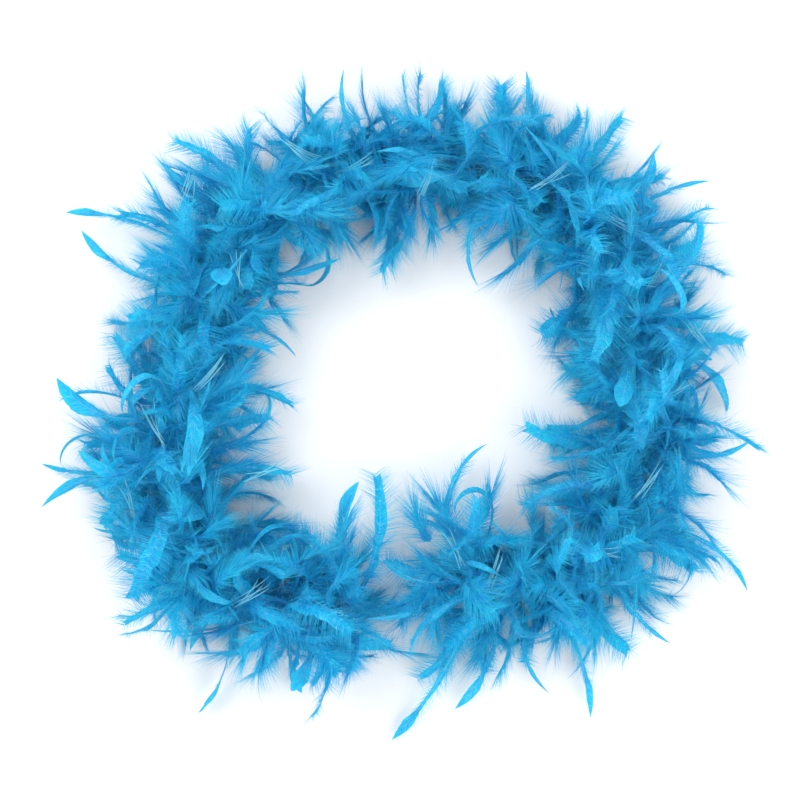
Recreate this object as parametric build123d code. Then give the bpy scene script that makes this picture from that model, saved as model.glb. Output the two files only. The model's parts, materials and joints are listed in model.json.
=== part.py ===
from build123d import *
import os
from math import cos, pi, radians, sin, tan

# Feather boa: one long cord, a thread wound along it, and feathers whose quills the thread
# binds to the cord. It lies on a table in an almost closed ring. The real cord bends everywhere.
# Here it is cut into lengths, called links, that bend at the hinges between them.
# Units are millimetres and degrees. The origin is the middle of the ring, at table height.

# ---- Cord ----
BOA_LENGTH = 1829.0        # two yards, from one tip of the cord to the other
LINK_COUNT = 16
TAIL_LENGTH = 24.0         # bare cord beyond the last feathers, at each end
CORD_RADIUS = 2.5
CORD_HEIGHT = 62.0         # of the cord's axis; the feathers under it are pressed flat
LINK_LENGTH = (BOA_LENGTH - 2 * TAIL_LENGTH) / LINK_COUNT
STRAIGHT_LENGTH = 8.0      # each end of a link is straight, and the rest is an arc

# ---- How it lies: where the first link starts, and how far each link turns clockwise ----
START_POINT = (-79.0, -271.0)
START_HEADING = 193.0
LINK_TURNS = [30, 40, 40, 5, 5, 30, 30, 10, 15, 30, 30, 15, 10, 30, 45, 50]

# ---- Hinges: even ones bend sideways, and odd ones bend up and down ----
SIDE_SWING = 60.0          # outwards only, because the ring is already nearly closed
LIFT_SWING = 25.0          # both up and down
SOCKET_RADIUS = CORD_RADIUS / cos(radians(SIDE_SWING)) + 0.2
JOINT_GAP = 1.5            # kept free on each side of a hinge at rest

# ---- Binding thread ----
THREAD_RADIUS = 0.4
THREAD_CLEARANCE = 0.05
THREAD_TURNS = 9
THREAD_INSET = 9.0         # from each end of a link
POINTS_PER_TURN = 8

# ---- End whippings ----
WHIPPING_TURNS = 7
WHIPPING_THREAD_RADIUS = 0.5
WHIPPING_GAP = 0.05
WHIPPING_START = 1.0       # from where the feathers stop, towards the cord's tip
WHIPPING_END = WHIPPING_START + 2 * WHIPPING_THREAD_RADIUS * WHIPPING_TURNS
SQUEEZED_RADIUS = 2.2      # of the cord where a whipping pulls it tight
SQUEEZE_MARGIN = 0.3       # of squeezed cord beyond each end of the whipping

# ---- Feathers ----
FEATHERS_PER_LINK = 16
SLOT_STEP = 7              # azimuth slots between one feather and the next; coprime with 16
LINK_TWIST = 92.0          # degrees the feather pattern turns from one link to the next
FEATHER_INSET = 10.0
FEATHER_LENGTH = 88.0
SHORT_SHARE = 0.85         # every other feather is this much shorter
LONG_LENGTH = 156.0        # a stray feather that leans out past the others
LONG_EVERY = 4
LONG_MAX_RISE = 0.55       # a stray feather's rise above level, as a share of its length
VANE_WIDTH = 18.0
VANE_START = 0.22          # share of the length that is bare quill
VANE_THICKNESS = 0.5
QUILL_RADIUS = 0.8
QUILL_TIP_RADIUS = 0.3
QUILL_SHARE = 0.85         # share of the length that the quill reaches
QUILL_DEPTH = 1.2          # the quill starts this far from the cord's axis, inside the cord
MAX_LEAN = 50              # degrees, along the cord
LEAN_STEP = 5
TABLE_GAP = 0.5
BETWEEN_ENDS_X = -7.0      # the plane between the boa's two ends
END_GAP = 30.0             # each end's feathers keep this far from that plane
END_LINKS = 3              # links at each end that keep to it
SHORTEST_FEATHER = 30.0
SHORTENING = 4.0           # step in which a feather is shortened until it fits

UP = Vector(0, 0, 1)
FULL_TURN = 2 * pi


def path_point(link, share):
    """Point and heading (degrees) on the cord's axis, share of the way along a link."""
    x, y = START_POINT
    heading = START_HEADING
    arc_length = LINK_LENGTH - 2 * STRAIGHT_LENGTH
    for index in range(link + 1):
        left = LINK_LENGTH * (share if index == link else 1.0)
        for length, turn in ((STRAIGHT_LENGTH, 0), (arc_length, LINK_TURNS[index]), (STRAIGHT_LENGTH, 0)):
            part = min(left, length) / length
            half = radians(turn * part / 2)
            chord = length * part * (sin(half) / half if half else 1.0)
            x += chord * cos(radians(heading) - half)
            y += chord * sin(radians(heading) - half)
            heading -= turn * part
            left = max(left - length, 0.0)
    return Vector(x, y, CORD_HEIGHT), heading


def along(heading):
    """Unit vector in the direction of the cord."""
    return Vector(cos(radians(heading)), sin(radians(heading)), 0)


def outward(heading):
    """Unit vector away from the ring's middle, square to the cord."""
    return Vector(-sin(radians(heading)), cos(radians(heading)), 0)


def bends_sideways(hinge):
    """Hinge number n is between link n and link n + 1, counted from 0."""
    return hinge % 2 == 0


def hinge_axis(hinge):
    _, heading = path_point(hinge, 1.0)
    return UP if bends_sideways(hinge) else outward(heading)


def rod(start, direction, radius, length):
    """Solid cylinder from a point along a direction."""
    return extrude(Plane(origin=start, z_dir=direction) * Circle(radius), amount=length)


def rounded_end(hinge):
    """Straight end of a cord length, rounded about the point where the hinge's axis meets it."""
    pivot, heading = path_point(hinge, 1.0)
    start = -STRAIGHT_LENGTH
    side = CORD_RADIUS * cos(radians(45))
    outline = Polyline((0, CORD_RADIUS), (start, CORD_RADIUS), (start, 0), (CORD_RADIUS, 0))
    nose = ThreePointArc((CORD_RADIUS, 0), (side, side), (0, CORD_RADIUS))
    turned = revolve(make_face(Wire(outline.edges() + [nose])), axis=Axis.X)
    return Plane(origin=pivot, x_dir=along(heading), z_dir=UP).location * turned


def cord_tail(end, towards_tip):
    """Straight end of the whole cord, squeezed where its whipping is; end is where the feathers stop."""
    squeeze_start = WHIPPING_START - SQUEEZE_MARGIN
    squeeze_end = WHIPPING_END + SQUEEZE_MARGIN
    outline = Polyline((-STRAIGHT_LENGTH, 0), (-STRAIGHT_LENGTH, CORD_RADIUS), (squeeze_start, CORD_RADIUS),
                       (squeeze_start, SQUEEZED_RADIUS), (squeeze_end, SQUEEZED_RADIUS),
                       (squeeze_end, CORD_RADIUS), (TAIL_LENGTH, CORD_RADIUS), (TAIL_LENGTH, 0), close=True)
    turned = revolve(make_face(outline), axis=Axis.X)
    return Plane(origin=end, x_dir=towards_tip, z_dir=UP).location * turned


def core_cord(link):
    """One length of the core cord, with a hollow end and a rounded end for its hinges."""
    straight = STRAIGHT_LENGTH / LINK_LENGTH
    points = [path_point(link, share)[0] for share in (straight, 0.5, 1 - straight)]
    start, heading = path_point(link, 0.0)
    end, last_heading = path_point(link, 1.0)
    section = Plane(origin=points[0], z_dir=along(heading)) * Circle(CORD_RADIUS)
    middle = sweep(section, path=ThreePointArc(*points))
    if link > 0:
        axis = hinge_axis(link - 1)
        reach = 2 * SOCKET_RADIUS
        first = rod(start, along(heading), CORD_RADIUS, STRAIGHT_LENGTH)
        first -= rod(start - axis * reach, axis, SOCKET_RADIUS, 2 * reach)
    else:
        first = cord_tail(start, -along(heading))
    if link < LINK_COUNT - 1:
        last = rounded_end(link)
    else:
        last = cord_tail(end, along(last_heading))
    return first + middle + last


def binding_thread(link):
    """Thread wound round one length of cord, over the quills."""
    winding = CORD_RADIUS + THREAD_CLEARANCE + THREAD_RADIUS
    steps = THREAD_TURNS * POINTS_PER_TURN
    inset = THREAD_INSET / LINK_LENGTH
    points = []
    for step in range(steps + 1):
        centre, heading = path_point(link, inset + (1 - 2 * inset) * step / steps)
        angle = FULL_TURN * step / POINTS_PER_TURN
        across = outward(heading) * cos(angle) + UP * sin(angle)
        points.append(centre + across * winding)
    helix = Spline(*points)
    section = Plane(origin=helix @ 0, z_dir=helix % 0) * Circle(THREAD_RADIUS)
    return sweep(section, path=helix, is_frenet=True)


def end_whipping(link, outwards_sign):
    """Thread wound tightly round the cord's end, its turns side by side, so that it can't fray."""
    end, heading = path_point(link, 0.0 if outwards_sign < 0 else 1.0)
    inner = SQUEEZED_RADIUS + WHIPPING_GAP
    pitch = 2 * WHIPPING_THREAD_RADIUS
    turns = []
    for turn in range(WHIPPING_TURNS):
        start = (inner + WHIPPING_THREAD_RADIUS, turn * pitch)
        crest = (inner + 2 * WHIPPING_THREAD_RADIUS, (turn + 0.5) * pitch)
        turns.append(ThreePointArc(start, crest, (inner + WHIPPING_THREAD_RADIUS, (turn + 1) * pitch)))
    top = WHIPPING_TURNS * pitch
    inside = Polyline((inner + WHIPPING_THREAD_RADIUS, top), (inner, top), (inner, 0),
                      (inner + WHIPPING_THREAD_RADIUS, 0))
    profile = make_face(Wire(turns + inside.edges()))
    coil = revolve(Plane.XZ * profile, axis=Axis.Z)
    towards_tip = along(heading) * outwards_sign
    place = Plane(origin=end + towards_tip * WHIPPING_START, z_dir=towards_tip)
    return place.location * coil


def spare_room(link, point):
    """How far a point lies inside the space that a link's feathers may fill, in mm.

    A hinge's two neighbours each stay out of half of its swing, so they never meet.
    """
    rooms = [point.Z - TABLE_GAP]
    rise = abs(point.Z - CORD_HEIGHT)
    for hinge, side in ((link - 1, 1), (link, -1)):
        if not 0 <= hinge < LINK_COUNT - 1:
            continue
        pivot, heading = path_point(hinge, 1.0)
        offset = point - pivot
        depth = side * offset.dot(along(heading))
        if bends_sideways(hinge):
            swept = max(offset.dot(outward(heading)), 0.0) * tan(radians(SIDE_SWING / 2))
        else:
            swept = rise * tan(radians(LIFT_SWING / 2))
        rooms.append(depth - swept - JOINT_GAP)
    if link < END_LINKS:
        rooms.append(BETWEEN_ENDS_X - END_GAP - point.X)
    if link >= LINK_COUNT - END_LINKS:
        rooms.append(point.X - BETWEEN_ENDS_X - END_GAP)
    return min(rooms)


def feather(length):
    """One feather along +X: a tapering quill and a thin leaf-shaped vane."""
    vane_root = (VANE_START * length, 0)
    middle = (VANE_START + 1) / 2 * length
    upper = ThreePointArc(vane_root, (middle, VANE_WIDTH / 2), (length, 0))
    lower = ThreePointArc((length, 0), (middle, -VANE_WIDTH / 2), vane_root)
    vane = extrude(make_face(Wire([upper, lower])), amount=VANE_THICKNESS / 2, both=True)
    quill_length = QUILL_SHARE * length
    quill = Cone(QUILL_RADIUS, QUILL_TIP_RADIUS, quill_length)
    return vane + Pos(quill_length / 2, 0, 0) * Rot(0, 90, 0) * quill


def feather_fits(link, root, direction, across, length):
    """Whether the vane's tip and its two widest points lie in the link's own space."""
    middle = root + direction * ((VANE_START + 1) / 2 * length)
    corners = [root + direction * length]
    corners += [middle + across * (side * VANE_WIDTH / 2) for side in (-1, 1)]
    return all(spare_room(link, corner) > 0 for corner in corners)


def placed_feather(link, number):
    """A feather bound to the cord, leaned and shortened until it clears hinges and table."""
    feathered_length = LINK_LENGTH - 2 * FEATHER_INSET
    distance = FEATHER_INSET + feathered_length * number / (FEATHERS_PER_LINK - 1)
    centre, heading = path_point(link, distance / LINK_LENGTH)
    slot = (number * SLOT_STEP) % FEATHERS_PER_LINK
    azimuth = radians(360 * slot / FEATHERS_PER_LINK + LINK_TWIST * link)
    radial = UP * cos(azimuth) + outward(heading) * sin(azimuth)
    length = FEATHER_LENGTH * (SHORT_SHARE if number % 2 else 1.0)
    if number % LONG_EVERY == 0 and sin(azimuth) > 0 and abs(cos(azimuth)) < LONG_MAX_RISE:
        length = LONG_LENGTH
    root = centre + radial * QUILL_DEPTH
    leans = sorted(range(-MAX_LEAN, MAX_LEAN + 1, LEAN_STEP), key=abs)
    while length >= SHORTEST_FEATHER:
        for lean in leans:
            direction = radial * cos(radians(lean)) + along(heading) * sin(radians(lean))
            across = along(heading) * cos(radians(lean)) - radial * sin(radians(lean))
            if feather_fits(link, root, direction, across, length):
                place = Plane(origin=root, x_dir=direction, z_dir=direction.cross(across))
                return place.location * feather(length)
        length -= SHORTENING
    return None


def feathers(link):
    """All the feathers of one link, as separate solids."""
    found = [placed_feather(link, number) for number in range(FEATHERS_PER_LINK)]
    return Compound(children=[piece for piece in found if piece is not None])


def write(name, shape):
    export_step(shape, f"parts/{name}.step")


os.makedirs("parts", exist_ok=True)
for link in range(LINK_COUNT):
    number = f"{link + 1:02d}"
    write(f"core_cord_{number}", core_cord(link))
    write(f"binding_thread_{number}", binding_thread(link))
    write(f"feathers_{number}", feathers(link))
write("end_whipping_first", end_whipping(0, -1))
write("end_whipping_last", end_whipping(LINK_COUNT - 1, 1))
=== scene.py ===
"""Feather boa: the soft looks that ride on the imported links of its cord.

Every feather is a curved quill with hundreds of narrow barbs. Loose, clumped barbs make down, and a
closed sheet stands for barbs that cling together, under the down and in the vanes. Lengths are in
metres, or in millimetres where a comment says so. The cord's line is read from the frame.
"""

import json
from math import cos, pi, radians, sin

import bpy
import numpy as np
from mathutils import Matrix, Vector


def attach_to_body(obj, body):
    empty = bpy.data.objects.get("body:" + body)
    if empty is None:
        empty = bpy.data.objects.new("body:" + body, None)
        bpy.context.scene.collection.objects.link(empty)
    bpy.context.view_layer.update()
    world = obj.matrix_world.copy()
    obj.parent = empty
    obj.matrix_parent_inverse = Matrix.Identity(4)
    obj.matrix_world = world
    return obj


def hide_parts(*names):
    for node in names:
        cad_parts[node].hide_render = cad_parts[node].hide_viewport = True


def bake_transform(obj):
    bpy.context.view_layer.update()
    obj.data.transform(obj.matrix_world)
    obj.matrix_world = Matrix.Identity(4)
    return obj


MM = 0.001

# ---- Cord ----
STRAND_COUNT = 3
STRAND_RADIUS = 1.3 * MM
STRAND_OFFSET = 1.25 * MM          # of a strand's axis from the cord's axis
STRAND_PITCH = 16 * MM             # along the cord, for one turn of the twist
STRAND_STEP = 1.6 * MM
STRAND_SIDES = 8
STRAIGHT_END = 32 * MM             # both ends of the cord are straight for this long
LINE_POINTS = 80                   # between one hinge and the next
THREAD_RADIUS = 0.4 * MM
THREAD_WINDING = 2.95 * MM         # of the thread's axis from the cord's axis
THREAD_PITCH = 10.5 * MM
THREAD_STEPS = 14                  # for one turn
THREAD_SIDES = 6
BARE_TIP = 34 * MM                 # the thread keeps this far from each tip of the cord

# ---- Fluff ----
FEATHER_STEP = 2.6 * MM            # along the cord, from one feather to the next
FILLER_STEP = 3.8 * MM
GOLDEN_ANGLE = radians(137.5)
SOWN_INSET = 12 * MM               # from the cord's tips to the first and last feathers
STRAY_INSET = 14 * MM
NEAR_END = 60 * MM                 # feathers this near a tip lean less
ROOT_OFFSET = 2.2 * MM             # of a quill's root from the cord's axis
QUILL_SIDES = 4
QUILL_TIP = 0.02 * MM
DOWN_QUILL = 0.45 * MM
VANE_QUILL = 0.75 * MM
LEAF_DOWN = 26 * MM                # length of the down under a closed vane
SHRED_STEP = 2.2 * MM              # from one strip of a bundle to the next
SHRED_RADIUS = 0.62 * MM
STRAY_SHIFT = 25 * MM              # how far a stray's root may lie along the cord from its nearest point
SAG = 0.12                         # how much a barb's end turns down
REACH_UP = 88 * MM                 # how far the fluff reaches from the cord
REACH_DOWN = 60 * MM
USUAL_REACH = 115 * MM             # level, away from the ring's middle and towards it
OTHER_REACH_OUT = {2: 90, 4: 140, 5: 60, 6: 130, 14: 140}                     # by link, in mm
OTHER_REACH_IN = {2: 160, 3: 170, 4: 160, 9: 90, 10: 90, 13: 140, 14: 150}    # by link, in mm
LONGEST_SHAFT = 155 * MM
SHORTEST_SHAFT = 45 * MM
BETWEEN_ENDS_X = -20 * MM          # the boa's two ends lie on either side of this plane
SOFT_FLOOR = 18 * MM               # feathers below this are pressed flat on the table
SOFT_CEILING = 132 * MM
CEILING_ROOM = 26 * MM
# A feather's colours come from u, from root to tip, and v, which sets one barb apart from another.
DOWN_ROWS = (0.02, 0.60)           # where a feather's parts lie in v
VANE_ROWS = (0.62, 0.78)
QUILL_ROWS = (0.96, 0.99)
ROW_HEIGHT = 0.02
STREAK_SPAN = 0.16                 # of v along a sheet, so that its barbs show as streaks
BARB_WIDTH = 0.62 * MM
SHEET_SHARE = 0.30                 # how far the sheet under the barbs reaches along them
FILLER_SHEET = 0.36                # the same for the short feathers inside the fluff
FRAY_COUNT = 70                    # loose barbs over a closed vane, which fray its margins
LOOSE_SHARE = 0.16                # of the barbs in down that stray from their clump
UV_NAME = "OFBake"

# ---- Colours, linear ----
# Dye along each barb from root to tip: the deeper root is painted shade inside the fluff, and the paler tip is
# painted highlight on its outside.
ROOT_SHADED_BLUE = (0.004, 0.720, 0.990, 1)
MIDDLE_BLUE = (0.006, 0.940, 0.980, 1)
TIP_HIGHLIGHT_BLUE = (0.025, 0.900, 0.900, 1)
HIGHLIGHT_STRAND_BLUE = (0.34, 0.80, 0.93, 1)        # painted highlight on a few strands
# Pale quills and split strips: painted highlight along them.
QUILL_HIGHLIGHT_BLUE = (0.30, 0.76, 0.88, 1)
BROAD_DEPTH = (0.55, 0.72, 0.92, 1)      # what the dye's broad and fine streaks multiply it by
FINE_DEPTH = (0.22, 0.36, 0.78, 1)
CORD_BLUE = (0.012, 0.19, 0.42, 1)
THREAD_BLUE = (0.02, 0.24, 0.50, 1)
TRANSLUCENT_SHARE = 0.38           # of the light that a feather lets through
BUMP_HEIGHT = 0.2 * MM

# ---- Studio ----
FLOOR_HALF = 6.0
FLOOR_GREY = (0.87, 0.87, 0.87, 1)
SKY_STRENGTH = 1.10
LAMPS = (("key", (-1.1, 1.2, 2.3), 1.4, 30), ("fill", (1.4, -0.9, 2.0), 1.6, 18))    # place, size, watts
LENS, SENSOR = 86.4, 36            # of the camera, in mm
VIEW_WIDTH = 1.0                   # what it sees at the height of the focus
VIEW_MIDDLE = (-7 * MM, -9 * MM)
FOCUS_HEIGHT = 75 * MM

random = np.random.default_rng(2024)
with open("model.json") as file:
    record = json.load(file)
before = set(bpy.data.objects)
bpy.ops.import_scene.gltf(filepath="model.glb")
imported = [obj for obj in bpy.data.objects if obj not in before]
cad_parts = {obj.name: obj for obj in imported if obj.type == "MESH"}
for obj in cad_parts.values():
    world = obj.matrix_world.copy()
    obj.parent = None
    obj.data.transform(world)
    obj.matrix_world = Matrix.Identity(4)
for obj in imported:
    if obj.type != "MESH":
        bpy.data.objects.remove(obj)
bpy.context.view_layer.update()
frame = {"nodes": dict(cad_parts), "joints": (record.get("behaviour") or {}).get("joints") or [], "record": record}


# ---------------------------------------------------------------- the cord's line
def hermite(a, b, slope_a, slope_b, count):
    """Smooth curve from a to b with the given end slopes."""
    t = np.linspace(0, 1, count, endpoint=False)[:, None]
    return ((2 * t**3 - 3 * t**2 + 1) * a + (t**3 - 2 * t**2 + t) * slope_a
            + (3 * t**2 - 2 * t**3) * b + (t**3 - t**2) * slope_b)


def cord_line():
    """Points along the cord's axis, with the distance of each from the first tip, and the hinges'."""
    record = frame["record"]
    mounts = {m["name"]: m for m in record["mounts"]}
    first, last = mounts["first_cord_tip"], mounts["last_cord_tip"]
    first_axis, last_axis = np.array(first["axis"]), np.array(last["axis"])
    first_tip = np.array(first["pos_m"]) + first_axis * first["dims"]["length_mm"] * MM / 2
    last_tip = np.array(last["pos_m"]) + last_axis * last["dims"]["length_mm"] * MM / 2
    hinges = [np.array(j["pos_m"]) for j in sorted(frame["joints"], key=lambda j: j["name"][-5:])]
    knots = [first_tip, first_tip - first_axis * STRAIGHT_END] + hinges
    knots += [last_tip - last_axis * STRAIGHT_END, last_tip]
    slopes = [-first_axis, -first_axis]
    for before, after in zip(knots[1:], knots[3:-1]):
        slopes.append((after - before) / np.linalg.norm(after - before))
    slopes += [last_axis, last_axis]
    pieces = []
    for a, b, slope_a, slope_b in zip(knots, knots[1:], slopes, slopes[1:]):
        span = np.linalg.norm(b - a)
        pieces.append(hermite(a, b, slope_a * span, slope_b * span, LINE_POINTS))
    points = np.vstack(pieces + [last_tip[None]])
    steps = np.linalg.norm(np.diff(points, axis=0), axis=1)
    distances = np.concatenate([[0], np.cumsum(steps)])
    hinge_distances = [distances[np.linalg.norm(points - h, axis=1).argmin()] for h in hinges]
    return points, distances, np.array(hinge_distances)


LINE, DISTANCES, HINGES = cord_line()
LENGTH = DISTANCES[-1]
LINKS = len(HINGES) + 1
LINK_LENGTH = (HINGES[-1] - HINGES[0]) / (LINKS - 2)
MIDDLES = np.concatenate([[HINGES[0] - LINK_LENGTH / 2], (HINGES[1:] + HINGES[:-1]) / 2,
                          [HINGES[-1] + LINK_LENGTH / 2]])
UP = np.array([0.0, 0.0, 1.0])


def unit(v):
    return v / np.maximum(np.linalg.norm(v, axis=-1, keepdims=True), 1e-9)


def line_point(distance):
    """Point on the cord's axis at a distance from its first tip."""
    return np.stack([np.interp(distance, DISTANCES, LINE[:, k]) for k in range(3)], -1)


def on_cord(distance):
    """Point, direction and outward direction (level, away from the ring's middle) on the cord."""
    distance = np.asarray(distance, float)
    step = 2 * MM
    along = unit(line_point(distance + step) - line_point(distance - step))
    return line_point(distance), along, np.cross(UP, along)


# ---------------------------------------------------------------- meshes
class MeshParts:
    """Triangles gathered for one piece."""

    def __init__(self):
        self.points, self.faces, self.uvs, self.count = [], [], [], 0

    def add(self, points, faces, uvs):
        self.points.append(points.reshape(-1, 3))
        self.faces.append(faces.reshape(-1, 3) + self.count)
        self.uvs.append(uvs.reshape(-1, 2))
        self.count += len(self.points[-1])


def make_object(name, parts, material):
    """Turns gathered parts into an object of the scene."""
    points, faces, uvs = np.vstack(parts.points), np.vstack(parts.faces), np.vstack(parts.uvs)
    mesh = bpy.data.meshes.new(name)
    mesh.vertices.add(len(points))
    mesh.vertices.foreach_set("co", points.astype(np.float32).ravel())
    mesh.loops.add(faces.size)
    mesh.loops.foreach_set("vertex_index", faces.astype(np.int32).ravel())
    mesh.polygons.add(len(faces))
    mesh.polygons.foreach_set("loop_start", np.arange(0, faces.size, 3, dtype=np.int32))
    layer = mesh.uv_layers.new(name=UV_NAME)
    layer.data.foreach_set("uv", uvs[faces.ravel()].astype(np.float32).ravel())
    mesh.update(calc_edges=True)
    mesh.shade_smooth()
    mesh.materials.append(material)
    obj = bpy.data.objects.new(name, mesh)
    bpy.context.scene.collection.objects.link(obj)
    return obj


def add_tube(parts, centres, radii, sides, row):
    """Round tube along centres with open ends, given one radius at each centre."""
    count = len(centres)
    ahead = unit(np.gradient(centres, axis=0))
    lean = np.where(np.abs(ahead @ UP)[:, None] > 0.95, np.array([1.0, 0, 0]), UP)
    right = unit(np.cross(ahead, lean))
    over = np.cross(right, ahead)
    angles = 2 * pi * np.arange(sides) / sides
    ring = right[:, None] * np.cos(angles)[:, None] + over[:, None] * np.sin(angles)[:, None]
    points = centres[:, None] + ring * np.asarray(radii)[:, None, None]
    corner = np.arange(count - 1)[:, None] * sides + np.arange(sides)
    beside = np.arange(count - 1)[:, None] * sides + (np.arange(sides) + 1) % sides
    faces = np.stack([np.stack([corner, beside, beside + sides], -1),
                      np.stack([corner, beside + sides, corner + sides], -1)], 2)
    u = np.broadcast_to(np.linspace(0, 1, count)[:, None], (count, sides))
    v = np.broadcast_to(row + 0.004 * np.arange(sides) / sides, (count, sides))
    parts.add(points, faces, np.stack([u, v], -1))


def add_ribbons(parts, lines, half_widths, across, v, u_start):
    """Narrow strips that end in a point. lines: strips x points x 3."""
    count, stations = lines.shape[0], lines.shape[1] - 1
    offset = across[:, None] * half_widths[..., None]
    left, right = lines[:, :-1] - offset, lines[:, :-1] + offset
    points = np.concatenate([left, right, lines[:, -1:]], 1)
    pattern = []
    for j in range(stations - 1):
        pattern += [(j, stations + j, stations + j + 1), (j, stations + j + 1, j + 1)]
    pattern.append((stations - 1, 2 * stations - 1, 2 * stations))
    faces = np.array(pattern)[None] + (np.arange(count) * (2 * stations + 1))[:, None, None]
    u = u_start[:, None] + (1 - u_start)[:, None] * np.linspace(0, 1, stations + 1)
    u = np.concatenate([u[:, :-1], u[:, :-1], u[:, -1:]], 1)
    half_row = 0.0008
    v = np.concatenate([np.repeat(v[:, None] - half_row, stations, 1),
                        np.repeat(v[:, None] + half_row, stations, 1), v[:, None]], 1)
    parts.add(points, faces, np.stack([u, v], -1))


# ---------------------------------------------------------------- feathers
class Shaft:
    """A feather's quill line: it leaves root along aim, and turns towards bend by curl radians."""

    def __init__(self, root, aim, bend, length, curl, droop=0.0, roll=0.0, power=1.6, steps=14):
        aim = unit(aim)
        bend = unit(bend - aim * (bend @ aim))
        t = np.linspace(0, 1, steps + 1)
        angle = (curl * t**power)[:, None]
        ahead = np.cos(angle) * aim + np.sin(angle) * bend
        ahead[:, 2] -= droop * t**2
        self.ahead = unit(ahead)
        middles = (self.ahead[1:] + self.ahead[:-1]) / 2
        self.points = np.vstack([root, root + np.cumsum(middles * (length / steps), axis=0)])
        hinge = np.cross(aim, bend)
        side = hinge - self.ahead * (self.ahead @ hinge)[:, None]
        side = unit(side)
        face = np.cross(self.ahead, side)
        turn = roll * (0.4 + 0.6 * t)[:, None]
        self.side = side * np.cos(turn) + face * np.sin(turn)
        self.face = np.cross(self.ahead, self.side)
        self.length = length
        self.t = t

    def at(self, t):
        """Point, direction, side and face (the blade's normal) at shares t of the length."""
        found = []
        for values in (self.points, self.ahead, self.side, self.face):
            found.append(np.stack([np.interp(t, self.t, values[:, k]) for k in range(3)], -1))
        return found


def add_quill(parts, shaft, thick, end=0.96):
    """Tapering quill along the first part of a shaft, up to its share end."""
    t = np.linspace(0, end, 11)
    centres = shaft.at(t)[0]
    radii = thick * (1 - 0.82 * t / end)
    radii[-1] = QUILL_TIP
    add_tube(parts, settle(centres), radii, QUILL_SIDES, random.uniform(*QUILL_ROWS))


def settle(points):
    """Presses what hangs low flat on the table, and what stands high down under the ceiling."""
    z = points[..., 2]
    low = SOFT_FLOOR * np.exp(np.minimum(z - SOFT_FLOOR, 0) / SOFT_FLOOR)
    high = SOFT_CEILING + CEILING_ROOM * (1 - np.exp(-np.maximum(z - SOFT_CEILING, 0) / CEILING_ROOM))
    points[..., 2] = np.where(z < SOFT_FLOOR, low, np.where(z > SOFT_CEILING, high, z))
    return points


def barb_lines(shaft, side, order, span, reach, open_angle, lift, curve, wave, swept, stations):
    """Curved lines that leave the shaft sideways, and turn by the way towards its tip.

    side is 1 or -1, order runs from 0 to 1 along span, lift and wave turn a barb out of the blade's
    plane, and swept turns all the ends one way. Returns the lines (barbs x points x 3), each barb's
    first direction and the blade's face there.
    """
    t = span[0] + (span[1] - span[0]) * order
    base, ahead, across, face = shaft.at(t)
    lift, open_angle = lift[:, None], open_angle[:, None]
    sideways = across * side[:, None] * np.cos(lift) + face * np.sin(lift)
    start = ahead * np.cos(open_angle) + sideways * np.sin(open_angle)
    turned = ahead * curve[:, None] + face * (wave[:, None] + swept[1]) + across * swept[0]
    end = unit(start + turned - SAG * UP)
    v = np.linspace(0, 1, stations + 1)[None, :, None]
    lines = base[:, None] + reach[:, None, None] * (start[:, None] * (v - v**2 / 2) + end[:, None] * v**2 / 2)
    return lines, start, face


def add_barbs(parts, shaft, count, span, length, angle, profile, clumps, spread, puff, puff_spread,
              pull, hook, closing, swept, stations):
    """Loose barbs on both sides of a shaft.

    span: shares of the shaft they start from; angle: from the shaft, less by closing near its tip;
    hook: how much they turn towards the tip; puff: how far they lift out of the blade's plane. Each
    clump shares a swing, a lift and a length, and pull gathers its ends.
    """
    side = np.where(np.arange(count) % 2, 1.0, -1.0)
    order = (np.arange(count) + random.random(count)) / count
    clump = np.minimum((order * clumps + 0.35 * (side > 0)).astype(int), clumps)
    clump = clump + (side > 0) * (clumps + 1)
    kinds = 2 * (clumps + 1)
    loose = (random.random(count) < LOOSE_SHARE) * random.normal(0, 1, (3, count))
    swing = random.normal(0, spread, kinds)[clump] + random.normal(0, 0.05, count) + 0.3 * loose[0]
    lift = puff + random.normal(0, puff_spread, kinds)[clump] + random.normal(0, 0.1, count) + 0.4 * loose[1]
    share = random.uniform(0.85, 1.1, kinds)[clump] * random.uniform(0.5, 1.05, count)
    curve = random.normal(hook, 0.15, kinds)[clump] + 0.3 * loose[2]
    wave = random.normal(0, 0.22, kinds)[clump] + random.normal(0, 0.1, count)
    reach = length * profile(order) * share
    open_angle = np.clip(angle * (1 - closing[0] * order ** closing[1]) + swing, 0.08, 1.5)
    lines, start, face = barb_lines(shaft, side, order, span, reach, open_angle, lift, curve, wave, swept,
                                    stations)
    gathered = np.zeros((kinds, 3))
    for k in range(kinds):
        members = clump == k
        if members.any():
            gathered[k] = lines[members, 0].mean(0)
    v = np.linspace(0, 1, stations + 1)[None, :, None]
    lines = lines + (pull * v**1.5) * (gathered[clump] - lines[:, 0])[:, None]
    taper = 1 - np.linspace(0, 1, stations + 1)[:-1] ** 1.3
    half = BARB_WIDTH / 2 * random.uniform(0.6, 1.4, count)
    flatwise = unit(np.cross(start, face + random.normal(0, 0.5, (count, 3))))
    v_row = random.uniform(*DOWN_ROWS) + ROW_HEIGHT * random.uniform(-0.5, 0.5, count)
    u_start = np.clip(0.1 + 0.45 * order, 0, 0.6)
    add_ribbons(parts, settle(lines), half[:, None] * taper[None], flatwise, v_row, u_start)


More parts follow.
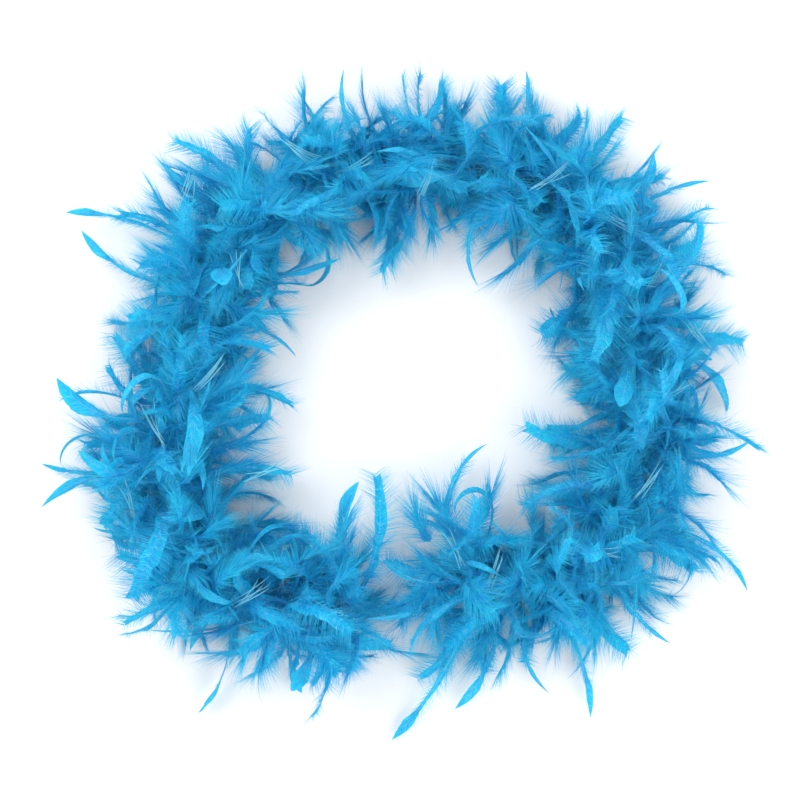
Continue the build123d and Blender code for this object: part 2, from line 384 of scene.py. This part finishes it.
def add_sheet(parts, shaft, span, length, angle, profile, puff, ripple, hook, closing, swept, rows,
              ragged=0.0, rising=0.3, along=13, across=3):
    """Closed vane on both sides of a shaft, where barbs cling together.

    ripple: how much the sheet waves; ragged: how uneven its margin is; rising: how much paler it
    gets towards the shaft's tip, as painted highlight.
    """
    order = np.linspace(0, 1, along)
    row = random.uniform(*rows)
    for side in (-1.0, 1.0):
        phase = random.uniform(0, 2 * pi)
        turns = random.uniform(1.2, 2.6)
        lift = puff + ripple * np.sin(2 * pi * turns * order + phase)
        share = 1 - ragged * random.random(along)
        open_angle = np.clip(angle * (1 - closing[0] * order ** closing[1]), 0.05, 1.5)
        reach = length * profile(order) * share
        lines, _, _ = barb_lines(shaft, np.full(along, side), order, span, reach, open_angle, lift,
                                 np.full(along, hook), np.zeros(along), swept, across)
        index = np.arange(along * (across + 1)).reshape(along, across + 1)
        corner, beside = index[:-1, :-1], index[:-1, 1:]
        above, opposite = index[1:, :-1], index[1:, 1:]
        if side > 0:
            beside, above = above, beside
        faces = np.stack([np.stack([corner, beside, opposite], -1),
                          np.stack([corner, opposite, above], -1)], 2)
        q = np.linspace(0, 1, across + 1)[None]
        u = np.clip(0.25 + (0.7 - rising) * q + rising * order[:, None] ** 2, 0, 1)
        v = np.broadcast_to(row + STREAK_SPAN * order[:, None], u.shape)
        parts.add(settle(lines), faces, np.stack([u, v], -1))


# Profiles: a barb's share of the full reach, at share t of the stretch of quill that bears barbs
def down_profile(t):
    return 0.45 + 0.55 * np.sin(pi * np.clip(0.1 + 0.78 * t, 0, 1))


def tuft_profile(t):
    return 0.7 + 0.3 * t


def lance_profile(t):
    return np.minimum(1, 0.15 + 3.2 * t) * (1 - t) ** 0.7


def leaf_profile(t):
    return np.minimum(1, 0.3 + 2.6 * t) * (1 - 0.97 * t**2.2)


def cut_profile(t):
    return np.minimum(1, 0.3 + 2.6 * t) * (1 - 0.3 * t**4)


def add_down(parts, shaft, barbs, span, length, angle, profile, clumps, hook, closing, stations, pull=0.0,
             sheet=SHEET_SHARE):
    """Barbs over a rippled sheet, which stands for the barbs that cling together under them."""
    puff = random.normal(0.1, 0.13)
    swept = (random.normal(0, 0.35), random.normal(0, 0.2))
    add_barbs(parts, shaft, barbs, span, length, angle, profile, clumps, 0.09, puff, 0.2, pull, hook,
              closing, swept, stations)
    add_sheet(parts, shaft, (span[0], span[1] * 0.97), length * sheet, angle * 0.95, profile, puff, 0.22,
              hook, closing, swept, DOWN_ROWS, ragged=0.5)


def add_plume(parts, shaft, barbs, reach, stations, sheet=SHEET_SHARE):
    """Loose down all along a thin quill."""
    add_quill(parts, shaft, DOWN_QUILL)
    angle = radians(random.uniform(42, 72))
    clumps = int(random.integers(3, 7))
    hook = random.uniform(-0.3, 0.5)
    pull = random.uniform(0, 0.25)
    add_down(parts, shaft, barbs, (0.12, 1.0), reach, angle, down_profile, clumps, hook, (0.15, 4), stations,
             pull=pull, sheet=sheet)


def add_tuft(parts, shaft, barbs, reach, stations):
    """A fan of long down that spreads from a short stretch of quill."""
    add_quill(parts, shaft, DOWN_QUILL, end=0.8)
    angle = radians(random.uniform(48, 75))
    clumps = int(random.integers(2, 6))
    hook = random.uniform(-0.3, 0.4)
    add_down(parts, shaft, barbs, (0.3, 0.78), reach, angle, tuft_profile, clumps, hook, (0.9, 1), stations)


def add_leaf(parts, shaft, half_width, bare=0.45, down=160, profile=leaf_profile, angle=42):
    """Down near the root, then a closed vane with a pointed or cut tip.

    bare: the share of the shaft below the vane; down: how many barbs the root has; angle: of the
    vane's barbs from the shaft, in degrees.
    """
    add_quill(parts, shaft, VANE_QUILL)
    swept = (random.normal(0, 0.1), 0.0)
    add_down(parts, shaft, down, (0.12, bare + 0.08), LEAF_DOWN, radians(50), down_profile, 4, 0.4,
             (0.3, 4), 3)
    puff = random.uniform(-0.1, 0.3)
    reach = half_width / sin(radians(angle))
    add_sheet(parts, shaft, (bare, 0.985), reach, radians(angle), profile, puff, 0.07, 0.5, (0.35, 3), swept,
              VANE_ROWS, ragged=0.10, rising=0.2, along=18, across=3)
    add_barbs(parts, shaft, FRAY_COUNT, (bare, 0.97), 1.12 * reach, radians(angle), profile, 8, 0.03,
              puff, 0.05, 0.0, 0.5, (0.35, 3), swept, 3)


def envelope(distance, azimuth):
    """How far the fluff reaches from the cord, azimuth 0 being up and 90 degrees outward."""
    place = np.clip((distance - HINGES[0]) / LINK_LENGTH + 0.5, 0, LINKS - 1)
    others = OTHER_REACH_OUT if sin(azimuth) > 0 else OTHER_REACH_IN
    reaches = [others[link] * MM if link in others else USUAL_REACH for link in range(1, LINKS + 1)]
    level = np.interp(place, np.arange(LINKS), reaches)
    height = REACH_UP if cos(azimuth) > 0 else REACH_DOWN
    return 1 / np.hypot(sin(azimuth) / level, cos(azimuth) / height)


def add_feather(kind, piece, root, aim, bend, length, curl, droop, barbs, reach, stations):
    """One sown feather. reach: how long its barbs are, for the kinds that are all down."""
    if kind == "tuft":
        shaft = Shaft(root, aim, bend, length * 0.95, curl, droop, roll=random.normal(0, 0.4), power=1.0)
        add_tuft(piece, shaft, int(barbs * 0.85), reach * random.uniform(1.1, 1.5), stations)
    elif kind == "plume":
        shaft = Shaft(root, aim, bend, length, curl, droop, roll=random.normal(0, 0.4), power=1.0)
        add_plume(piece, shaft, barbs, reach * random.uniform(0.8, 1.2), stations)
    elif kind == "filler":
        shaft = Shaft(root, aim, bend, length, curl, droop, roll=random.normal(0, 0.4), power=1.0)
        add_plume(piece, shaft, barbs, reach * random.uniform(0.8, 1.2), stations, sheet=FILLER_SHEET)
    elif kind == "leaf":
        shaft = Shaft(root, aim, bend, length * 1.1, curl, droop, roll=random.normal(0, 0.4), power=1.0)
        profile = cut_profile if random.random() < 0.3 else leaf_profile
        add_leaf(piece, shaft, random.uniform(9, 18) * MM, bare=random.uniform(0.35, 0.55), profile=profile)
    elif kind == "ribbon":
        shaft = Shaft(root, aim, bend, length * 1.25, random.uniform(2.2, 4.8), 0.1,
                      roll=random.normal(0, 0.3), power=2.2, steps=22)
        add_leaf(piece, shaft, random.uniform(5, 9) * MM, bare=random.uniform(0.3, 0.45), down=80, angle=34)
    else:
        shaft = Shaft(root, aim, bend, length * 1.15, 0.5 * curl, 0.1, roll=random.normal(0, 0.6))
        add_leaf(piece, shaft, random.uniform(5, 8) * MM, bare=random.uniform(0.45, 0.6), down=90,
                 profile=lance_profile, angle=26)


def sow(parts_of, step, share, barbs, reach, stations, kinds):
    """Plants feathers all along the cord and all round it.

    parts_of and kinds give the piece and the kind of feather at a distance along the cord. share:
    how much of the fluff's depth the feathers reach through, from and to.
    """
    count = int((LENGTH - 2 * SOWN_INSET) / step)
    for i in range(count):
        distance = SOWN_INSET + (LENGTH - 2 * SOWN_INSET) * (i + random.random()) / count
        azimuth = i * GOLDEN_ANGLE + random.normal(0, 0.2)
        point, along, outward = on_cord(distance)
        radial = UP * cos(azimuth) + outward * sin(azimuth)
        around = np.cross(along, radial)
        lean = float(np.clip(random.normal(0, 0.85), -1.2, 1.2))
        if min(distance, LENGTH - distance) < NEAR_END:
            lean = random.uniform(-0.4, 0.1) if distance < LENGTH / 2 else random.uniform(-0.1, 0.45)
        aim = unit(radial * cos(lean) + along * sin(lean) + around * random.normal(0, 0.25))
        bend = along * random.choice([-1.0, 1.0]) + around * random.normal(0, 0.6)
        curl = random.uniform(0.5, 1.5) + 0.5 * max(cos(azimuth), 0) * random.random()
        droop = random.uniform(0.1, 0.5)
        progress = sin(curl) / curl * max(cos(lean), 0.5)
        far = envelope(distance, azimuth) * random.uniform(*share)
        length = min(far / progress, LONGEST_SHAFT)
        root = point + radial * ROOT_OFFSET
        add_feather(kinds(distance), parts_of(distance), root, aim, bend, length, curl, droop, barbs, reach,
                    stations)


# Feathers that stand out of the fluff: their tips' x, y and z in mm, and their bend in degrees
BLADES = [
    (-432, 228, 40, 35, "leaf"), (-412, 208, 30, -45, "leaf"), (-76, 408, 60, -50, "lance"),
    (150, 404, 70, 40, "lance"), (312, 303, 50, 60, "leaf"), (386, 268, 40, -40, "lance"),
    (440, -58, 30, 60, "lance"), (436, -255, 20, -65, "lance"), (338, -318, 30, 40, "lance"),
    (236, -418, 12, -35, "leaf"), (186, -384, 15, 60, "lance"), (62, -405, 10, -50, "leaf"),
    (-19, -446, 8, -25, "leaf"), (-132, -384, 12, 35, "leaf"), (-466, -90, 15, -30, "lance"),
    (-400, -170, 20, -75, "lance"), (-363, -225, 12, -60, "lance"), (-275, -330, 15, 40, "leaf"),
    (95, 135, 40, 80, "lance"), (105, -66, 35, -70, "lance"), (-57, -112, 70, -60, "leaf"),
    (-140, 45, 30, -50, "lance"),
]
# Tufts and plumes that widen the fluff in places, given the same way
TUFTS = [
    (10, -372, 25, -20), (42, -392, 20, 20), (72, -384, 25, -10), (98, -364, 30, 25), (30, -345, 50, 30),
    (-142, -60, 50, 25), (-134, -102, 45, -20), (-138, -142, 50, 15), (-150, -182, 45, -25),
    (-160, -30, 60, 20),
    (60, 383, 70, 25), (92, 400, 60, -20), (122, 394, 75, 15), (152, 398, 60, -25), (182, 378, 70, 20),
    (-300, 325, 50, 20), (-270, 332, 60, -25), (-238, 338, 70, 20), (-200, 342, 60, -20), (-322, 296, 50, 25),
    (-412, -18, 45, -25), (-416, -62, 40, 20), (-402, -110, 45, -20), (-388, -152, 40, 25),
    (-378, -190, 35, 15),
    (228, -352, 40, 20), (264, -334, 45, -20), (288, -338, 40, 20), (380, -130, 50, -20), (384, -182, 45, 20),
    (376, -230, 40, -20), (350, -258, 45, 25), (-60, 152, 60, 20), (-30, 142, 50, -20), (2, 143, 60, 20),
    (32, 150, 50, -25), (162, 72, 60, 20), (158, 40, 55, -20), (162, 8, 60, 25), (140, -42, 50, -20),
    (128, -72, 50, 20), (-56, -98, 80, -25), (-36, -92, 70, 20), (-8, -98, 75, -20), (18, -94, 70, 25),
    (-368, 232, 50, 20), (-352, 206, 45, -25), (-340, 250, 60, 20),
    (370, 190, 60, 20), (388, 150, 50, -20), (330, 250, 60, 20), (400, -60, 50, 20), (396, 20, 55, -20),
]
# Satin hooks on top of the pile, given the same way
HOOKS = [
    (-330, -120, 128, 170), (-300, -150, 132, -190), (-352, -90, 122, 150), (-285, -100, 130, -160),
    (-262, -170, 126, 180), (-318, -180, 120, -150), (-355, -140, 112, 200), (-280, -60, 130, 150),
    (-370, -60, 105, -170), (-250, -120, 128, -140), (-230, -200, 120, 160), (-300, -20, 126, -150),
]


# Split strips that lie on top of the pile, pale as painted highlight: their middle in mm, and their heading in
# degrees
SHREDS = [
    (324, -3, 126, 25), (312, 153, 124, 55), (352, 78, 112, -60), (-170, -96, 118, 15),
    (-238, 22, 124, 40), (-262, 262, 120, 70), (-130, 292, 124, -40), (28, 262, 126, 60),
    (180, 262, 122, 20), (262, 206, 126, -35), (-310, -40, 122, -70), (-190, -250, 118, 30),
    (-100, -270, 116, -20), (110, -220, 118, 65), (236, -196, 122, -15), (-206, 150, 120, -75),
    (300, -110, 122, 50), (60, -190, 116, 110), (-340, -130, 108, 100), (-60, 276, 122, 15),
]


def add_shreds(parts_of):
    """Bundles of three to five narrow strips side by side, pale as painted highlight."""
    for x, y, z, heading in SHREDS:
        middle = np.array([x, y, z]) * MM
        distance = DISTANCES[np.linalg.norm(LINE[:, :2] - middle[:2], axis=1).argmin()]
        for strip in range(int(random.integers(3, 6))):
            angle = radians(heading + random.normal(0, 7))
            aim = np.array([cos(angle), sin(angle), 0.25])
            across = np.array([-sin(angle), cos(angle), 0.0])
            length = random.uniform(42, 68) * MM
            root = middle - unit(aim) * length / 2 + across * (strip - 1.5) * SHRED_STEP
            shaft = Shaft(root, aim, across, length, random.uniform(0.1, 0.5), droop=0.3)
            centres = shaft.at(np.linspace(0, 1, 9))[0]
            radii = SHRED_RADIUS * np.sin(np.linspace(0.25, pi, 9)) ** 0.5
            radii[-1] = QUILL_TIP
            add_tube(parts_of(distance), settle(centres), radii, QUILL_SIDES, random.uniform(*QUILL_ROWS))


def aimed_shaft(tip, bend_degrees, power, roll, steps, short=0.0):
    """Shaft from the cord near tip (mm) to short of it, and the distance along the cord of its root.

    It turns by the bend on its way, to the left where the bend is above zero.
    """
    tip = np.array(tip) * MM
    away = np.linalg.norm(LINE[:, :2] - tip[:2], axis=1)
    other_side = (LINE[:, 0] > BETWEEN_ENDS_X) != (tip[0] > BETWEEN_ENDS_X)
    nearest = (away + other_side).argmin()
    distance = DISTANCES[nearest] + random.uniform(-STRAY_SHIFT, STRAY_SHIFT)
    distance = float(np.clip(distance, STRAY_INSET, LENGTH - STRAY_INSET))
    point = line_point(distance)
    reach = tip - point
    curl = abs(radians(bend_degrees))
    turned = curl * np.linspace(0, 1, 60) ** power
    forward, sideways = np.cos(turned).mean(), np.sin(turned).mean()
    chord = unit(reach)
    bend = unit(np.cross(UP, chord)) * (1 if bend_degrees >= 0 else -1)
    lag = np.arctan2(sideways, forward)
    aim = chord * cos(lag) - bend * sin(lag)
    side = chord * sin(lag) + bend * cos(lag)
    length = max(np.linalg.norm(reach) - short, SHORTEST_SHAFT) / np.hypot(forward, sideways)
    root = point + chord * ROOT_OFFSET
    return Shaft(root, aim, side, length, curl, 0.0, roll=roll, power=power, steps=steps), distance


def add_strays(parts_of):
    """The blades, tufts and hooks of the lists above. Every third tuft is a plume."""
    for x, y, z, bend, kind in BLADES:
        shaft, distance = aimed_shaft((x, y, z), bend, 1.6, random.uniform(1.1, 2.0), 14)
        bare = float(np.clip(1 - random.uniform(45, 70) * MM / shaft.length, 0.4, 0.75))
        if kind == "leaf":
            add_leaf(parts_of(distance), shaft, random.uniform(7, 11) * MM, bare=bare, down=220)
        else:
            add_leaf(parts_of(distance), shaft, random.uniform(4, 6.5) * MM, bare=bare, down=220,
                     profile=lance_profile, angle=24)
    for number, (x, y, z, bend) in enumerate(TUFTS):
        roll = random.uniform(0.9, 2.2)
        if number % 3:
            shaft, distance = aimed_shaft((x, y, z), 2.5 * bend, 1.0, roll, 14, short=36 * MM)
            add_tuft(parts_of(distance), shaft, 340, random.uniform(50, 66) * MM, 4)
        else:
            shaft, distance = aimed_shaft((x, y, z), 2.5 * bend, 1.0, roll, 14, short=12 * MM)
            add_plume(parts_of(distance), shaft, 340, random.uniform(40, 52) * MM, 4)
    for x, y, z, bend in HOOKS:
        shaft, distance = aimed_shaft((x, y, z), bend, 1.5, random.uniform(0.7, 1.4), 22)
        add_leaf(parts_of(distance), shaft, random.uniform(8, 12) * MM, bare=0.3, down=80, angle=38)


# ---------------------------------------------------------------- materials
def node_material(name):
    material = bpy.data.materials.new(name)
    material.use_nodes = True
    nodes, links = material.node_tree.nodes, material.node_tree.links
    return material, nodes, links, nodes["Principled BSDF"]


# the sockets of a Mix node that mixes colours
MIX_SHARE, MIX_FIRST, MIX_SECOND, MIX_RESULT = 0, 6, 7, 2


def mix_colours(nodes, links, share, first, second, blend_type="MIX"):
    """Colour socket of first mixed with the fixed colour second, by the socket share."""
    mix = nodes.new("ShaderNodeMix")
    mix.data_type = "RGBA"
    mix.blend_type = blend_type
    mix.inputs[MIX_SECOND].default_value = second
    links.new(share, mix.inputs[MIX_SHARE])
    links.new(first, mix.inputs[MIX_FIRST])
    return mix.outputs[MIX_RESULT]


def map_range(nodes, links, value, **limits):
    """Socket of value mapped from and to the limits, which are named as in the node."""
    mapped = nodes.new("ShaderNodeMapRange")
    for name, limit in limits.items():
        mapped.inputs[name.replace("_", " ").title()].default_value = limit
    links.new(value, mapped.inputs["Value"])
    return mapped.outputs[0]


def streak_noise(nodes, links, place, scale_u, scale_v, detail):
    """Noise drawn out along u, so that it runs along the barbs."""
    scaled = nodes.new("ShaderNodeVectorMath")
    scaled.operation = "MULTIPLY"
    scaled.inputs[1].default_value = (scale_u, scale_v, 1)
    links.new(place.outputs["UV"], scaled.inputs[0])
    noise = nodes.new("ShaderNodeTexNoise")
    noise.inputs["Scale"].default_value = 1
    noise.inputs["Detail"].default_value = detail
    links.new(scaled.outputs[0], noise.inputs["Vector"])
    return noise.outputs["Fac"]


def feather_colour(nodes, links, place, fine):
    """Dye that is deeper at the root, as painted shade, and paler at the tip, as painted highlight; deeper in
    random streaks; with painted highlight on a few pale strands and on the pale quills.
    """
    split = nodes.new("ShaderNodeSeparateXYZ")
    links.new(place.outputs["UV"], split.inputs[0])
    # Painted shade at the barbs' roots and painted highlight at their tips, around the dye's middle blue.
    ramp = nodes.new("ShaderNodeValToRGB")
    ramp.color_ramp.elements[0].color = ROOT_SHADED_BLUE
    ramp.color_ramp.elements[1].color = TIP_HIGHLIGHT_BLUE
    ramp.color_ramp.elements[1].position = 0.98
    ramp.color_ramp.elements.new(0.45).color = MIDDLE_BLUE
    links.new(split.outputs["X"], ramp.inputs["Fac"])
    colour = ramp.outputs["Color"]

    broad = streak_noise(nodes, links, place, 0.6, 24, 1)
    for noise, depth in ((broad, BROAD_DEPTH), (fine, FINE_DEPTH)):
        level = map_range(nodes, links, noise, from_min=0.3, from_max=0.7)
        colour = mix_colours(nodes, links, level, colour, depth, "MULTIPLY")

    # A few strands made pale: painted highlight.
    strands = streak_noise(nodes, links, place, 1.5, 1100, 1)
    is_highlight_strand = map_range(nodes, links, strands, from_min=0.55, from_max=0.64, to_max=0.6)
    colour = mix_colours(nodes, links, is_highlight_strand, colour, HIGHLIGHT_STRAND_BLUE)

    # Quills and split strips made pale: painted highlight.
    is_quill = nodes.new("ShaderNodeMath")
    is_quill.operation = "GREATER_THAN"
    is_quill.inputs[1].default_value = (VANE_ROWS[1] + STREAK_SPAN + QUILL_ROWS[0]) / 2
    links.new(split.outputs["Y"], is_quill.inputs[0])
    return mix_colours(nodes, links, is_quill.outputs[0], colour, QUILL_HIGHLIGHT_BLUE)


def add_bump(nodes, links, shader, height, strength):
    bump = nodes.new("ShaderNodeBump")
    bump.inputs["Strength"].default_value = strength
    bump.inputs["Distance"].default_value = BUMP_HEIGHT
    links.new(height, bump.inputs["Height"])
    links.new(bump.outputs["Normal"], shader.inputs["Normal"])


def feather_material():
    """Dyed feather: deeper at the root as painted shade, paler at the tips as painted highlight, streaked along
    the barbs.
    """
    material, nodes, links, shader = node_material("dyed_feather")
    place = nodes.new("ShaderNodeUVMap")
    place.uv_map = UV_NAME
    fine = streak_noise(nodes, links, place, 5, 700, 2)
    colour = feather_colour(nodes, links, place, fine)
    links.new(colour, shader.inputs["Base Color"])
    links.new(map_range(nodes, links, fine, to_min=0.42, to_max=0.66), shader.inputs["Roughness"])
    shader.inputs["Sheen Weight"].default_value = 0.07
    shader.inputs["Sheen Roughness"].default_value = 0.45
    shader.inputs["Sheen Tint"].default_value = (0.55, 0.9, 1, 1)
    shader.inputs["Specular IOR Level"].default_value = 0.18
    add_bump(nodes, links, shader, fine, 0.15)

    glow = nodes.new("ShaderNodeBsdfTranslucent")
    links.new(colour, glow.inputs["Color"])
    blend = nodes.new("ShaderNodeMixShader")
    blend.inputs["Fac"].default_value = TRANSLUCENT_SHARE
    links.new(shader.outputs[0], blend.inputs[1])
    links.new(glow.outputs[0], blend.inputs[2])
    links.new(blend.outputs[0], nodes["Material Output"].inputs["Surface"])
    return material


def spun_material(name, colour, fibres):
    """Spun cotton: darker and paler by turns, as its fibres take the dye unevenly."""
    material, nodes, links, shader = node_material(name)
    place = nodes.new("ShaderNodeTexCoord")
    noise = nodes.new("ShaderNodeTexNoise")
    noise.inputs["Scale"].default_value = fibres
    noise.inputs["Detail"].default_value = 4
    links.new(place.outputs["Object"], noise.inputs["Vector"])
    fibre = noise.outputs["Fac"]
    ramp = nodes.new("ShaderNodeValToRGB")
    ramp.color_ramp.elements[0].position = 0.3
    ramp.color_ramp.elements[1].position = 0.75
    ramp.color_ramp.elements[0].color = tuple(0.6 * c for c in colour[:3]) + (1,)
    ramp.color_ramp.elements[1].color = tuple(min(1.5 * c, 1) for c in colour[:3]) + (1,)
    links.new(fibre, ramp.inputs["Fac"])
    links.new(ramp.outputs["Color"], shader.inputs["Base Color"])
    links.new(map_range(nodes, links, fibre, to_min=0.7, to_max=0.95), shader.inputs["Roughness"])
    add_bump(nodes, links, shader, fibre, 0.4)
    shader.inputs["Sheen Weight"].default_value = 0.3
    return material


# ---------------------------------------------------------------- pieces that ride the cord's links or lie across its hinges
def piece_bounds():
    """Where each piece starts and ends along the cord: end pieces, and one across every hinge."""
    edges = np.concatenate([[0], MIDDLES, [LENGTH]])
    return list(zip(edges, edges[1:]))


def attach(obj, index, node_stems):
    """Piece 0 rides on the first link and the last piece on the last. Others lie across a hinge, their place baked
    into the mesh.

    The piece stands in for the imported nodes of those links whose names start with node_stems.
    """
    if index == 0 or index == LINKS:
        link = 1 if index == 0 else LINKS
        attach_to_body(obj, f"link_{link:02d}")
        linked = [link]
    else:
        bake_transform(obj)
        linked = [index, index + 1]
    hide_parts(*[f"{stem}_{link:02d}" for stem in node_stems for link in linked])


def piece_name(stem, index):
    if index == 0:
        return f"{stem}_first_end"
    if index == LINKS:
        return f"{stem}_last_end"
    return f"{stem}_{index:02d}_{index + 1:02d}"


def build_feathers():
    """Sows the outer feathers and the filling, adds the placed ones, and cuts all into pieces."""
    spans = piece_bounds()
    gathered = [MeshParts() for _ in spans]

    def parts_of(distance):
        return gathered[int(np.searchsorted(MIDDLES, distance))]

    def outer_kind(distance):
        link = (distance - HINGES[0]) / LINK_LENGTH + 1
        curly = 0.14 if 1.8 < link < 4.4 else 0.03
        pick = random.random()
        if pick < curly:
            return "ribbon"
        if pick < curly + 0.05:
            return "leaf"
        if pick < curly + 0.07:
            return "lance"
        return "tuft" if random.random() < 0.65 else "plume"

    sow(parts_of, FEATHER_STEP, (0.70, 1.06), 380, 46 * MM, 4, outer_kind)
    sow(parts_of, FILLER_STEP, (0.25, 0.72), 270, 40 * MM, 3, lambda distance: "filler")
    add_strays(parts_of)
    add_shreds(parts_of)
    material = feather_material()
    for index, parts in enumerate(gathered):
        obj = make_object(piece_name("feathers", index), parts, material)
        attach(obj, index, ["feathers"])


def helix(start, end, radius, pitch, step, phase):
    """Points of a helix round the cord between two distances along it."""
    count = max(int(round((end - start) / step)), 2)
    distances = np.linspace(start, end, count + 1)
    point, _, outward = on_cord(distances)
    angle = (2 * pi * distances / pitch + phase)[:, None]
    return point + radius * (outward * np.cos(angle) + UP * np.sin(angle))


def build_cord():
    """Three twisted strands. The thread that binds the quills to them is built in build_thread."""
    cord_cotton = spun_material("dyed_cotton_cord", CORD_BLUE, 1800)
    for index, (start, end) in enumerate(piece_bounds()):
        parts = MeshParts()
        for strand in range(STRAND_COUNT):
            phase = 2 * pi * strand / STRAND_COUNT
            centres = helix(start, end, STRAND_OFFSET, STRAND_PITCH, STRAND_STEP, phase)
            radii = np.full(len(centres), STRAND_RADIUS)
            add_tube(parts, centres, radii, STRAND_SIDES, 0.1 + 0.3 * strand)
        obj = make_object(piece_name("cord", index), parts, cord_cotton)
        attach(obj, index, ["core_cord"])


def build_thread():
    cotton = spun_material("dyed_thread", THREAD_BLUE, 4000)
    for index, (start, end) in enumerate(piece_bounds()):
        parts = MeshParts()
        if index == 0:
            start = start + BARE_TIP
        if index == LINKS:
            end = end - BARE_TIP
        centres = helix(start, end, THREAD_WINDING, THREAD_PITCH, THREAD_PITCH / THREAD_STEPS, 0)
        add_tube(parts, centres, np.full(len(centres), THREAD_RADIUS), THREAD_SIDES, 0.5)
        obj = make_object(piece_name("thread", index), parts, cotton)
        attach(obj, index, ["binding_thread"])
    for name in ("end_whipping_first", "end_whipping_last"):
        whipping = frame["nodes"][name]
        whipping.data.materials.clear()
        whipping.data.materials.append(cotton)


# ---------------------------------------------------------------- studio
def build_floor():
    floor_mesh = bpy.data.meshes.new("floor")
    corners = [(-FLOOR_HALF, -FLOOR_HALF, 0), (FLOOR_HALF, -FLOOR_HALF, 0),
               (FLOOR_HALF, FLOOR_HALF, 0), (-FLOOR_HALF, FLOOR_HALF, 0)]
    floor_mesh.from_pydata(corners, [], [(0, 1, 2, 3)])
    floor = bpy.data.objects.new("floor", floor_mesh)
    bpy.context.scene.collection.objects.link(floor)
    paper, _, _, shader = node_material("pale_paper")
    shader.inputs["Base Color"].default_value = FLOOR_GREY
    shader.inputs["Roughness"].default_value = 0.9
    floor_mesh.materials.append(paper)


def build_light():
    world = bpy.data.worlds.new("studio")
    bpy.context.scene.world = world
    world.use_nodes = True
    sky = world.node_tree.nodes["Background"]
    sky.inputs["Color"].default_value = (1, 1, 1, 1)
    sky.inputs["Strength"].default_value = SKY_STRENGTH
    for name, place, size, watts in LAMPS:
        light = bpy.data.lights.new(name, "AREA")
        light.size = size
        light.energy = watts
        lamp = bpy.data.objects.new(name, light)
        lamp.location = place
        lamp.rotation_mode = "QUATERNION"
        lamp.rotation_quaternion = (-Vector(place)).to_track_quat("-Z", "Y")
        bpy.context.scene.collection.objects.link(lamp)


def build_camera():
    """Camera that looks straight down on the ring."""
    camera_data = bpy.data.cameras.new("camera")
    camera_data.lens = LENS
    camera_data.sensor_width = SENSOR
    camera = bpy.data.objects.new("camera", camera_data)
    camera.location = (*VIEW_MIDDLE, FOCUS_HEIGHT + VIEW_WIDTH * LENS / SENSOR)
    bpy.context.scene.collection.objects.link(camera)
    bpy.context.scene.camera = camera
    bpy.context.scene.view_settings.view_transform = "Standard"


build_feathers()
build_cord()
build_thread()
build_floor()
build_light()
build_camera()
